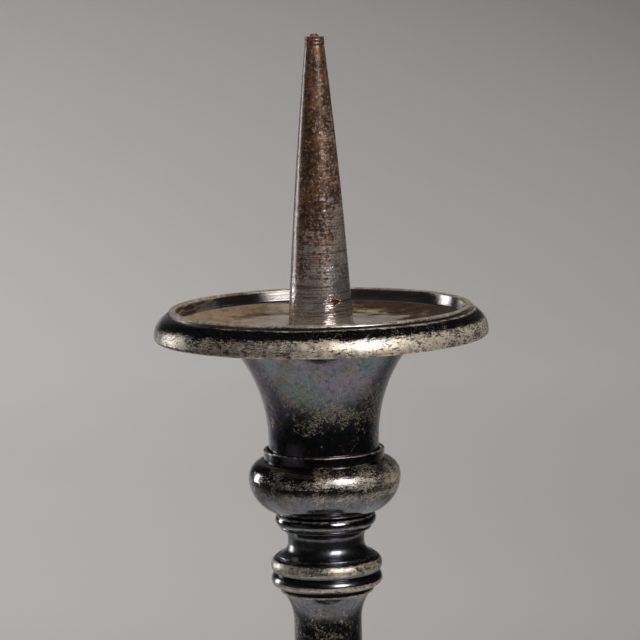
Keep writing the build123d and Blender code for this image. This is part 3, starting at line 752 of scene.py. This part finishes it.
def rusty_iron(colours, sizes, low, high):
    """The spike: mottled brown rust above, rubbed smoother and greyer towards the foot, with one scar."""
    finish = Finish("spike_iron", reach("pricket"))
    blotches = finish.noise(1000, 3, 0.6, 0.6)
    grain = finish.grain()
    rings = finish.lathe(2400, 70)
    clouds = finish.noise(170, 3)

    rust = finish.between(finish.stir(blotches, (clouds, 0.8), (grain, 0.3)), *RUST_RANGE)
    rust = finish.mix(rust, colours.rust_dark, colours.rust_light)
    glints = finish.between(finish.stir(blotches, (grain, 1.0)), *GLINT_RANGE, 0.0, 0.5)
    rust = finish.mix(glints, rust, colours.iron)
    bare = finish.bands(low, high, SPIKE_BARE)
    bare = finish.stir(bare, (blotches, 1.0), (rings, 0.6), (finish.noise(150, 3), 0.9))
    # Barer to the right: painted light, with the spike's side under the key lamp painted greyer and lighter
    bare = finish.between(finish.leaning(bare, SPIKE_RIGHT_PAINTED_LIGHT), *BARE_RANGE)
    lined = finish.mix(finish.between(rings, *LINE_RANGE), colours.film_brown, colours.iron)
    tint = finish.mix(bare, rust, lined)

    scar = finish.spot((sizes.scar_side, -sizes.scar_front, low + sizes.scar_height), SCAR_STRETCH)
    scar = finish.stir(scar, (blotches, SCAR_RAGGED * sizes.scar), (clouds, sizes.scar))
    tint = finish.mix(finish.between(scar, SCAR_EDGE * sizes.scar, sizes.scar, 0.35, 0.0), tint, colours.worn)
    flaked = finish.between(scar, FLAKE_FULL * sizes.scar, FLAKE_END * sizes.scar, 1.0, 0.0)
    tint = finish.mix(flaked, tint, colours.rust_light)

    metal = finish.math("MAXIMUM", finish.fade(bare, 0.25, 0.92), finish.math("MULTIPLY", glints, 1.6))
    roughness = finish.plus(finish.fade(bare, 0.42, 0.16), glints, -0.12)
    lines = finish.math("MULTIPLY", finish.math("SUBTRACT", rings, 0.5), bare)
    relief = finish.fade(bare, finish.math("ADD", blotches, grain), 0.0)
    relief = finish.plus(relief, flaked, -2.0)
    normal = finish.bump(relief, RUST_DEPTH, finish.bump(lines, TOOL_LINE_DEPTH))
    return finish.surface(tint, metal, roughness, normal, WAX)


def plain_iron(colours):
    """The rod, nut, washer and plate: dark iron with a little rust."""
    finish = Finish("rod_iron")
    grain = finish.noise(900, 6, 0.7)
    blotches = finish.between(finish.noise(160, 4), 0.50, 0.66)
    tint = finish.mix(blotches, finish.mix(grain, colours.pit, colours.iron), colours.rust_dark)
    roughness = finish.plus(0.42, blotches, 0.2)
    return finish.surface(tint, 0.8, roughness, finish.bump(grain, IRON_GRAIN_DEPTH))


def plain_sweep(tint):
    """The stage's matt paper."""
    finish = Finish("sweep_paper")
    cloud = finish.between(finish.noise(3, 2), 0.3, 0.7, 0.985, 1.0)
    tone = finish.vector("SCALE", {0: tint, "Scale": cloud})
    return finish.surface(tone, 0.0, 0.9, finish.bump(finish.noise(400, 2), PAPER_GRAIN_DEPTH))


# How worn the two plain rings of the lower stem are at shares of their height
PLAIN_RING_WEAR = ((0.0, 0.1), (0.2, 0.7), (0.75, 0.6), (1.0, 0.1))

# Each silvered piece's slot, how worn it is at shares of its height, and its other marks; a lean among them
# paints the piece lighter on its right, as painted light from the key lamp
SILVERED = {
    "drip_pan_rim": (
        "rim_silver",
        ((0.0, 0.96), (0.15, 0.86), (0.50, 0.77), (0.66, 0.50), (0.76, 0.14), (0.94, 0.08), (0.98, 0.50)),
        {"specks": 0.5, "lean": 0.14, "pitted": 0.08},
    ),
    "cup": (
        "dark_silver",
        ((0.0, 0.0), (0.96, 0.0), (1.0, 0.3)),
        {
            "crackle": ((0.06, 0.06), (0.16, 0.30), (0.30, 0.50), (0.58, 0.58), (0.72, 0.46), (0.86, 0.30),
                        (1.0, 0.22)),
            "specks": 0.35, "ragged": 0.8, "gloss": 0.09, "lean": 0.15, "vivid": 0.9,
        },
    ),
    "cup_collar": (
        "dark_silver",
        ((0.0, 0.5), (0.10, 0.15), (0.2, 0.02), (0.86, 0.02), (0.94, 0.5)),
        {},
    ),
    "bulb_knop": (
        "dark_silver",
        ((0.0, 0.04), (0.40, 0.08), (0.46, 0.42), (0.51, 0.46), (0.54, 0.22), (0.60, 0.26), (0.66, 0.51),
         (0.78, 0.50), (0.88, 0.28), (1.0, 0.10)),
        {
            "crackle": ((0.20, 0.10), (0.40, 0.35), (0.46, 0.65), (0.54, 0.60), (0.62, 0.40), (1.0, 0.45)),
            "lean": 0.23,
        },
    ),
    "astragal_ring": (
        "dark_silver",
        ((0.0, 0.50), (0.26, 0.45), (0.38, 0.2), (0.72, 0.2), (0.84, 0.7), (0.95, 0.1)),
        {"gloss": 0.11},
    ),
    "neck_spool": (
        "dark_silver",
        ((0.0, 0.5), (0.06, 0.3), (0.12, 0.05), (0.9, 0.03), (1.0, 0.2)),
        {"specks": 0.15, "ragged": 0.7, "gloss": 0.26},
    ),
    "upper_torus_ring": (
        "rim_silver",
        ((0.0, 0.05), (0.20, 0.10), (0.30, 0.70), (0.84, 0.70), (0.96, 0.1)),
        {"gloss": 0.17},
    ),
    "lower_torus_ring": (
        "rim_silver",
        ((0.0, 0.05), (0.16, 0.10), (0.26, 0.85), (0.48, 0.80), (0.58, 0.1), (1.0, 0.05)),
        {"gloss": 0.20},
    ),
    "shaft": (
        "dark_silver",
        ((0.0, 0.4), (0.04, 0.1), (0.18, 0.3), (0.30, 0.25), (0.5, 0.10), (0.974, 0.05), (0.979, 0.8),
         (0.985, 0.6), (0.988, 0.05)),
        {
            "crackle": ((0.0, 0.2), (0.3, 0.48), (0.88, 0.56), (0.92, 0.24), (1.0, 0.1)),
            "specks": 0.5, "ragged": 0.8,
        },
    ),
    "shaft_foot_ring": ("rim_silver", PLAIN_RING_WEAR, {"gloss": 0.20}),
    "lower_knop": (
        "dark_silver",
        ((0.0, 0.06), (0.30, 0.1), (0.42, 0.6), (0.68, 0.6), (0.84, 0.15), (1.0, 0.1)),
        {},
    ),
    "lower_spool": (
        "dark_silver",
        ((0.0, 0.6), (0.07, 0.5), (0.1, 0.06), (0.9, 0.06), (0.94, 0.5), (1.0, 0.6)),
        {"ragged": 0.8},
    ),
    "base_collar_ring": ("rim_silver", PLAIN_RING_WEAR, {"gloss": 0.20}),
    "base_trumpet": (
        "dark_silver",
        ((0.0, 0.6), (0.05, 0.55), (0.08, 0.2), (0.3, 0.12), (0.9, 0.08), (0.95, 0.5), (1.0, 0.6)),
        {"specks": 0.4, "ragged": 0.8},
    ),
    "base_dome": (
        "dark_silver",
        ((0.0, 0.5), (0.2, 0.55), (0.22, 0.1), (0.6, 0.14), (0.92, 0.12), (1.0, 0.5)),
        {"crackle": ((0.2, 0.1), (0.3, 0.45), (0.9, 0.40), (1.0, 0.1)), "specks": 0.4, "ragged": 0.8},
    ),
    "base_foot_ring": (
        "rim_silver",
        ((0.0, 0.2), (0.08, 0.6), (0.4, 0.7), (0.7, 0.4), (0.82, 0.1), (0.86, 0.6), (1.0, 0.6)),
        {},
    ),
}


def fit(settings, node, outline, low, high, body=STAND, fineness=1):
    """Turns a silvered piece and dresses it, with its wear between two heights."""
    slot, stops, marks = SILVERED[node]
    piece = turned(node, outline, settings.turning, fineness)
    dress(piece, node, silver(node, settings.colours, low, high, stops, **marks), body)


# Operators, one for each piece or group of like pieces

class CANDLE_OT_pricket(bpy.types.Operator):
    """Model the iron spike with its grooved tip and forged skin"""

    bl_idname = "candle.pricket"
    bl_label = "Pricket"

    def execute(self, context):
        settings = context.scene.candle_stand
        sizes, turning = settings.pricket, settings.turning
        low, nub, foot = extent("pricket")
        tip = nub - sizes.nub_height
        collar = tip - sizes.collar
        socket_top = low + sizes.socket
        outline = Outline(0, socket_top).line(turning.rod_bore, socket_top)
        outline.line(turning.rod_bore, low).line(foot, low)
        outline.bow(sizes.tip, collar, sizes.swell, sizes.rows)
        pitch = sizes.collar / sizes.grooves
        for groove in range(sizes.grooves):
            top = collar + (groove + 1) * pitch
            outline.line(sizes.tip - sizes.groove_depth, top - pitch / 2).line(sizes.tip, top)
        outline.line(sizes.nub, tip).line(sizes.nub_flat * sizes.nub, nub).line(0, nub)
        piece = turned("pricket", outline, turning, fineness=3)
        skin = bpy.data.textures.new("forged_skin", "CLOUDS")
        skin.noise_scale = sizes.forging_size
        skin.noise_depth = 3
        finish_modifier(piece, "DISPLACE", texture=skin, strength=sizes.forging, texture_coords="LOCAL")
        dress(piece, "pricket", rusty_iron(settings.colours, sizes, low, nub))
        return {"FINISHED"}


class CANDLE_OT_dish(bpy.types.Operator):
    """Model the drip pan's dish with its seat, cone and lip"""

    bl_idname = "candle.dish"
    bl_label = "Drip pan dish"

    def execute(self, context):
        settings = context.scene.candle_stand
        pan = settings.pan
        low, top, lip = extent("drip_pan_dish")
        wall = lip - pan.lip
        foot = wall - pan.wall_lean
        ledge = top - pan.wall_depth
        under = ledge - pan.floor
        outline = Outline(pan.hole, low).line(pan.seat, low).line(wall, under).line(lip, under)
        outline.line(lip, top - pan.lip_round).tuck(lip - pan.lip_round, top)
        outline.line(wall + pan.lip_round, top).swell(wall, top - pan.lip_round)
        outline.line(foot, ledge + pan.cove).tuck(foot - pan.cove, ledge)
        outline.line(pan.seat, low + pan.floor).line(pan.hole, low + pan.floor)
        piece = turned("drip_pan_dish", outline, settings.turning)
        dress(piece, "drip_pan_dish", pan_silver(settings.colours, pan, lip, top), PAN)
        return {"FINISHED"}


class CANDLE_OT_rim(bpy.types.Operator):
    """Model the drip pan's cast rim"""

    bl_idname = "candle.rim"
    bl_label = "Drip pan rim"

    def execute(self, context):
        settings = context.scene.candle_stand
        pan = settings.pan
        low, top, widest = extent("drip_pan_rim")
        lip = reach("drip_pan_dish")
        shelf = crown("drip_pan_dish") - pan.wall_depth - pan.floor
        inner = lip + pan.rim_gap
        shelf_edge = lip - pan.shelf * pan.lip
        toe = widest - pan.rim_toe
        outline = Outline(toe - pan.rim_sole, low).line(toe, low).swell(widest, low + pan.rim_widest)
        outline.tuck(inner + pan.rim_toe, top).line(inner, top).line(inner, shelf)
        outline.line(shelf_edge, shelf).line(shelf_edge, shelf - pan.shelf_depth)
        fit(settings, "drip_pan_rim", outline, low, top, PAN, fineness=2)
        return {"FINISHED"}


class CANDLE_OT_cup(bpy.types.Operator):
    """Model the flared cup and the collar that it stands in"""

    bl_idname = "candle.cup"
    bl_label = "Cup and collar"

    def execute(self, context):
        settings = context.scene.candle_stand
        sizes, turning = settings.cup, settings.turning
        low, top, mouth = extent("cup")
        rebate = mouth - sizes.edge_width
        ledge = top - sizes.plate
        floor = low + sizes.floor
        outline = Outline(turning.socket, low).line(sizes.foot, low).line(sizes.foot, low + sizes.straight)
        outline.tuck(mouth, top - sizes.edge).line(mouth, top).line(rebate, top).line(rebate, ledge)
        outline.line(rebate - sizes.ledge, ledge).swell(sizes.foot - sizes.wall, floor)
        outline.bored(floor, low, turning)
        fit(settings, "cup", outline, low, top)

        base, head, edge = extent("cup_collar")
        recess = sizes.foot + sizes.groove
        outline = Outline(turning.socket, base).line(edge, base).line(edge, head).line(recess, head)
        outline.line(recess, low).line(turning.socket, low)
        fit(settings, "cup_collar", outline, base, head)
        return {"FINISHED"}


class CANDLE_OT_knops(bpy.types.Operator):
    """Model the bulb under the cup and the lower knop"""

    bl_idname = "candle.knops"
    bl_label = "Knops"

    def execute(self, context):
        settings = context.scene.candle_stand
        stem = settings.stem
        self.knop(settings, "bulb_knop", "cup_collar", stem.bulb_foot, stem.bulb_head, stem.bulb_belly)
        self.knop(settings, "lower_knop", "shaft_foot_ring", stem.knop_foot, stem.knop_head, stem.knop_belly)
        return {"FINISHED"}

    def knop(self, settings, node, above, foot, head, belly):
        """A flattened ball under the piece above, with its socket below and its spigot on top."""
        turning = settings.turning
        low, high = seat(node), seat(above)
        outline = Outline(turning.socket, low).line(foot, low)
        outline.swell(reach(node), low + belly * (high - low)).tuck(head, high)
        outline.section(high, crown(node), low, turning)
        fit(settings, node, outline, low, high)


# How far each ring draws in at its foot and head, as shares of half its height
RINGS = {
    "astragal_ring": (0.75, 0.75),
    "upper_torus_ring": (0.45, 0.6),
    "lower_torus_ring": (0.95, 0.55),
    "shaft_foot_ring": (0.8, 0.8),
    "base_collar_ring": (0.8, 0.8),
}


class CANDLE_OT_rings(bpy.types.Operator):
    """Model the rounded rings between the stem's sections"""

    bl_idname = "candle.rings"
    bl_label = "Rings"

    def execute(self, context):
        settings = context.scene.candle_stand
        turning = settings.turning
        for node, (foot, head) in RINGS.items():
            low, high, widest = extent(node)
            half = (high - low) / 2
            outline = Outline(turning.socket, low).line(widest - foot * half, low).swell(widest, low + half)
            outline.tuck(widest - head * half, high).line(turning.socket, high)
            fit(settings, node, outline, low, high)
        return {"FINISHED"}


class CANDLE_OT_spools(bpy.types.Operator):
    """Model the neck and the lower spool"""

    bl_idname = "candle.spools"
    bl_label = "Spools"

    def execute(self, context):
        settings = context.scene.candle_stand
        stem, turning = settings.stem, settings.turning
        low, high, foot = seat("neck_spool"), seat("astragal_ring"), reach("neck_spool")
        outline = Outline(turning.socket, low).line(foot, low).line(foot, low + stem.neck_edge)
        waist = low + stem.neck_waist_height * (high - low)
        outline.swell(stem.neck_waist, waist - stem.neck_waist_length).line(stem.neck_waist, waist)
        outline.tuck(stem.neck_head, high - stem.neck_fillet).line(stem.neck_head, high)
        outline.section(high, crown("neck_spool"), low, turning)
        fit(settings, "neck_spool", outline, low, high)

        low, high, foot = seat("lower_spool"), seat("lower_knop"), reach("lower_spool")
        fillet_low, fillet_high = low + stem.spool_fillet, high - stem.spool_fillet
        outline = Outline(turning.socket, low).line(foot, low).line(foot, fillet_low)
        outline.line(foot - stem.spool_fillet_step, fillet_low)
        outline.swell(stem.spool_waist, fillet_low + stem.spool_waist_height * (fillet_high - fillet_low))
        outline.tuck(stem.spool_head - stem.spool_fillet_step, fillet_high)
        outline.line(stem.spool_head, fillet_high).line(stem.spool_head, high)
        outline.section(high, crown("lower_spool"), low, turning)
        fit(settings, "lower_spool", outline, low, high)
        return {"FINISHED"}


class CANDLE_OT_shaft(bpy.types.Operator):
    """Model the baluster shaft"""

    bl_idname = "candle.shaft"
    bl_label = "Shaft"

    def execute(self, context):
        settings = context.scene.candle_stand
        stem, turning = settings.stem, settings.turning
        low, high = seat("shaft"), seat("lower_torus_ring")
        fillet = low + stem.shaft_fillet
        head = high - stem.shaft_head_height
        waist = head - stem.shaft_flare_height
        outline = Outline(turning.socket, low).line(stem.shaft_foot, low).line(stem.shaft_foot, fillet)
        outline.line(stem.shaft_foot - stem.shaft_fillet_step, fillet)
        outline.swell(reach("shaft"), low + stem.shaft_belly_rise)
        outline.ogee(stem.shaft_waist, waist - stem.shaft_waist_length, stem.shaft_turnover)
        outline.line(stem.shaft_waist, waist).tuck(stem.shaft_flare, head)
        outline.line(stem.shaft_head, head).line(stem.shaft_head, high)
        outline.section(high, crown("shaft"), low, turning)
        fit(settings, "shaft", outline, low, high)
        return {"FINISHED"}


class CANDLE_OT_base(bpy.types.Operator):
    """Model the base's trumpet, dome and foot ring"""

    bl_idname = "candle.base"
    bl_label = "Base"

    def execute(self, context):
        settings = context.scene.candle_stand
        base, turning = settings.base, settings.turning
        bottom, top, edge = extent("base_dome")
        low, spigot_top, foot = extent("base_trumpet")
        collar = seat("base_collar_ring")
        fillet = top + base.fillet
        head = collar - base.head_height
        well_top = top + base.well_rise
        outline = Outline(base.well, low).line(base.spigot, low).line(base.spigot, top).line(foot, top)
        outline.line(foot, fillet).line(foot - base.fillet_step, fillet).swell(base.neck, head)
        outline.line(base.head, head).line(base.head, collar).line(turning.spigot, collar)
        outline.line(turning.spigot, spigot_top).line(turning.rod_bore, spigot_top)
        outline.line(turning.rod_bore, well_top).line(base.well, well_top)
        fit(settings, "base_trumpet", outline, top, collar)

        shoulder_radius = edge - base.band_step
        inner = shoulder_radius - base.wall
        rise = top - base.shoulder
        flat = shoulder_radius - base.shoulder
        hole = base.spigot + base.seam
        outline = Outline(inner, bottom).line(edge, bottom).line(edge, rise).line(shoulder_radius, rise)
        outline.tuck(flat, top).line(hole, top).line(hole, top - base.wall).line(flat, top - base.wall)
        outline.swell(inner, rise)
        fit(settings, "base_dome", outline, bottom, top)

        ground, rim, widest = extent("base_foot_ring")
        crest = edge + base.foot_top
        rebate = edge + base.seat_clearance
        ledge = rim - base.foot_fillet
        outline = Outline(widest - base.foot_sole, ground).line(widest - base.foot_round, ground)
        outline.swell(widest, ground + base.foot_round).line(widest, ground + base.foot_edge)
        outline.bow(crest + base.foot_fillet_step, ledge, base.foot_ovolo, OVOLO_STEPS)
        outline.line(crest, ledge).line(crest, rim).line(rebate, rim).line(rebate, bottom).line(inner, bottom)
        fit(settings, "base_foot_ring", outline, ground, rim)
        return {"FINISHED"}


class CANDLE_OT_ironwork(bpy.types.Operator):
    """Finish the rod, nut, washer and plate inside the stand"""

    bl_idname = "candle.ironwork"
    bl_label = "Ironwork"

    def execute(self, context):
        finish = plain_iron(context.scene.candle_stand.colours)
        for node in ("tie_rod", "base_nut", "base_washer", "cup_plate"):
            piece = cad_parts[node]
            piece.data.materials.clear()
            piece.data.materials.append(finish)
        return {"FINISHED"}


# Each soft lamp's place, the point it is aimed at, its width and height, and the angle its beam opens to
LAMPS = {
    "key": ((0.625, -0.962, 1.10), (0, 0.10, 0.45), 0.66, 0.96, 45),
    "strip": ((-0.987, 0.665, 0.36), (0, 0, 0.34), 0.24, 0.52, 90),
    "fill": ((-1.25, -0.65, 0.10), (0, 0, 0.30), 1.20, 0.80, 120),
}
# Each round lamp's place, the point it is aimed at, its radius, and the angle and soft edge of its beam
SPOTS = {
    "pool": ((0, 0, 2.2), (0, 0, 0), 0.10, 20, 0.12),
    "wash": ((-1.8, 2.6, 3.4), (-0.12, 1.9, 0), 0.20, 42, 0.6),
}


def lamp(name, kind, place, target, watts):
    """A lamp of a kind, aimed at a point and out of the camera's sight."""
    aim = (Vector(target) - Vector(place)).to_track_quat("-Z", "Y").to_euler()
    bpy.ops.object.light_add(type=kind, location=place, rotation=aim)
    light = bpy.context.object
    light.name = name
    light.data.energy = watts
    light.visible_camera = False
    return light


def soft_lamp(name, watts):
    """A soft rectangular lamp."""
    place, target, width, height, opening = LAMPS[name]
    light = lamp(name, "AREA", place, target, watts)
    light.data.shape = "RECTANGLE"
    light.data.size = width
    light.data.size_y = height
    light.data.spread = math.radians(opening)


def round_lamp(name, watts):
    """A round lamp that no metal mirrors."""
    place, target, radius, beam, soft_edge = SPOTS[name]
    light = lamp(name, "SPOT", place, target, watts)
    light.data.shadow_soft_size = radius
    light.data.spot_size = math.radians(beam)
    light.data.spot_blend = soft_edge
    light.visible_glossy = False


class CANDLE_OT_stage(bpy.types.Operator):
    """Set the pale sweep, the lamps, the dim room and the camera"""

    bl_idname = "candle.stage"
    bl_label = "Stage"

    def execute(self, context):
        settings = context.scene.candle_stand
        stage = settings.stage
        self.sweep(stage, settings.colours)
        for name in LAMPS:
            soft_lamp(name, getattr(stage, name))
        for name in SPOTS:
            round_lamp(name, getattr(stage, name))
        self.room(context, stage)
        self.camera(context, stage)
        return {"FINISHED"}

    def sweep(self, stage, colours):
        """The floor that curves up into a backdrop."""
        points = [Vector((0, -stage.floor_front, 0)), Vector((0, stage.floor_back, 0))]
        for step in range(1, SWEEP_STEPS + 1):
            turn = math.pi / 2 * step / SWEEP_STEPS
            across = stage.floor_back + stage.sweep_radius * math.sin(turn)
            points.append(Vector((0, across, stage.sweep_radius * (1 - math.cos(turn)))))
        points.append(Vector((0, stage.floor_back + stage.sweep_radius, stage.sweep_height)))
        paper = drawn_wire("sweep", points)
        bpy.ops.object.mode_set(mode="EDIT")
        bpy.ops.mesh.select_all(action="SELECT")
        bpy.ops.transform.translate(value=(-stage.sweep_width / 2, 0, 0))
        bpy.ops.mesh.extrude_region_move(TRANSFORM_OT_translate={"value": (stage.sweep_width, 0, 0)})
        bpy.ops.mesh.select_all(action="SELECT")
        bpy.ops.mesh.normals_make_consistent(inside=False)
        bpy.ops.object.mode_set(mode="OBJECT")
        bpy.ops.object.shade_smooth()
        paper.data.materials.append(plain_sweep(colours.sweep))

    def room(self, context, stage):
        """Dim even light from everywhere else."""
        world = bpy.data.worlds.new("room")
        world.use_nodes = True
        light = world.node_tree.nodes["Background"].inputs
        light["Color"].default_value = (*stage.room_tint, 1)
        light["Strength"].default_value = stage.room
        context.scene.world = world

    def camera(self, context, stage):
        """The camera, looking a little down at the pan and slightly rolled."""
        ahead = Vector((0, math.cos(stage.pitch), -math.sin(stage.pitch)))
        turn = Matrix.Rotation(stage.roll, 3, ahead) @ Matrix.Rotation(math.pi / 2 - stage.pitch, 3, "X")
        place = Vector((stage.aim_side, 0, stage.aim_height)) - stage.distance * ahead
        bpy.ops.object.camera_add(location=place, rotation=turn.to_euler())
        camera = bpy.context.object
        camera.data.lens = stage.lens
        camera.data.sensor_width = SENSOR_WIDTH
        camera.data.clip_start = NEAREST
        context.scene.camera = camera
        context.scene.view_settings.view_transform = "Standard"


class CandleStand(bpy.types.PropertyGroup):
    """All the settings of the candle stand."""

    turning: PointerProperty(type=TurningSizes)
    pricket: PointerProperty(type=PricketSizes)
    pan: PointerProperty(type=PanSizes)
    cup: PointerProperty(type=CupSizes)
    stem: PointerProperty(type=StemSizes)
    base: PointerProperty(type=BaseSizes)
    colours: PointerProperty(type=FinishColours)
    stage: PointerProperty(type=StageSizes)


OPERATORS = (
    CANDLE_OT_pricket,
    CANDLE_OT_dish,
    CANDLE_OT_rim,
    CANDLE_OT_cup,
    CANDLE_OT_knops,
    CANDLE_OT_rings,
    CANDLE_OT_spools,
    CANDLE_OT_shaft,
    CANDLE_OT_base,
    CANDLE_OT_ironwork,
    CANDLE_OT_stage,
)


class CANDLE_PT_stand(bpy.types.Panel):
    """The candle stand's pieces, in the order in which they are modelled"""

    bl_idname = "CANDLE_PT_stand"
    bl_label = "Candle stand"
    bl_space_type = "VIEW_3D"
    bl_region_type = "UI"
    bl_category = "Candle stand"

    def draw(self, context):
        for operator in OPERATORS:
            self.layout.operator(operator.bl_idname)


SETTINGS = (TurningSizes, PricketSizes, PanSizes, CupSizes, StemSizes, BaseSizes, FinishColours, StageSizes)
CLASSES = (*SETTINGS, CandleStand, *OPERATORS, CANDLE_PT_stand)


def register():
    """Registers the classes and hangs the settings on the scene."""
    for kind in CLASSES:
        bpy.utils.register_class(kind)
    bpy.types.Scene.candle_stand = PointerProperty(type=CandleStand)


def unregister():
    """Takes the settings off the scene and unregisters the classes."""
    del bpy.types.Scene.candle_stand
    for kind in reversed(CLASSES):
        bpy.utils.unregister_class(kind)


def main():
    """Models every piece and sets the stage."""
    register()
    bpy.ops.candle.pricket()
    bpy.ops.candle.dish()
    bpy.ops.candle.rim()
    bpy.ops.candle.cup()
    bpy.ops.candle.knops()
    bpy.ops.candle.rings()
    bpy.ops.candle.spools()
    bpy.ops.candle.shaft()
    bpy.ops.candle.base()
    bpy.ops.candle.ironwork()
    bpy.ops.candle.stage()


if __name__ == "__main__":
    main()
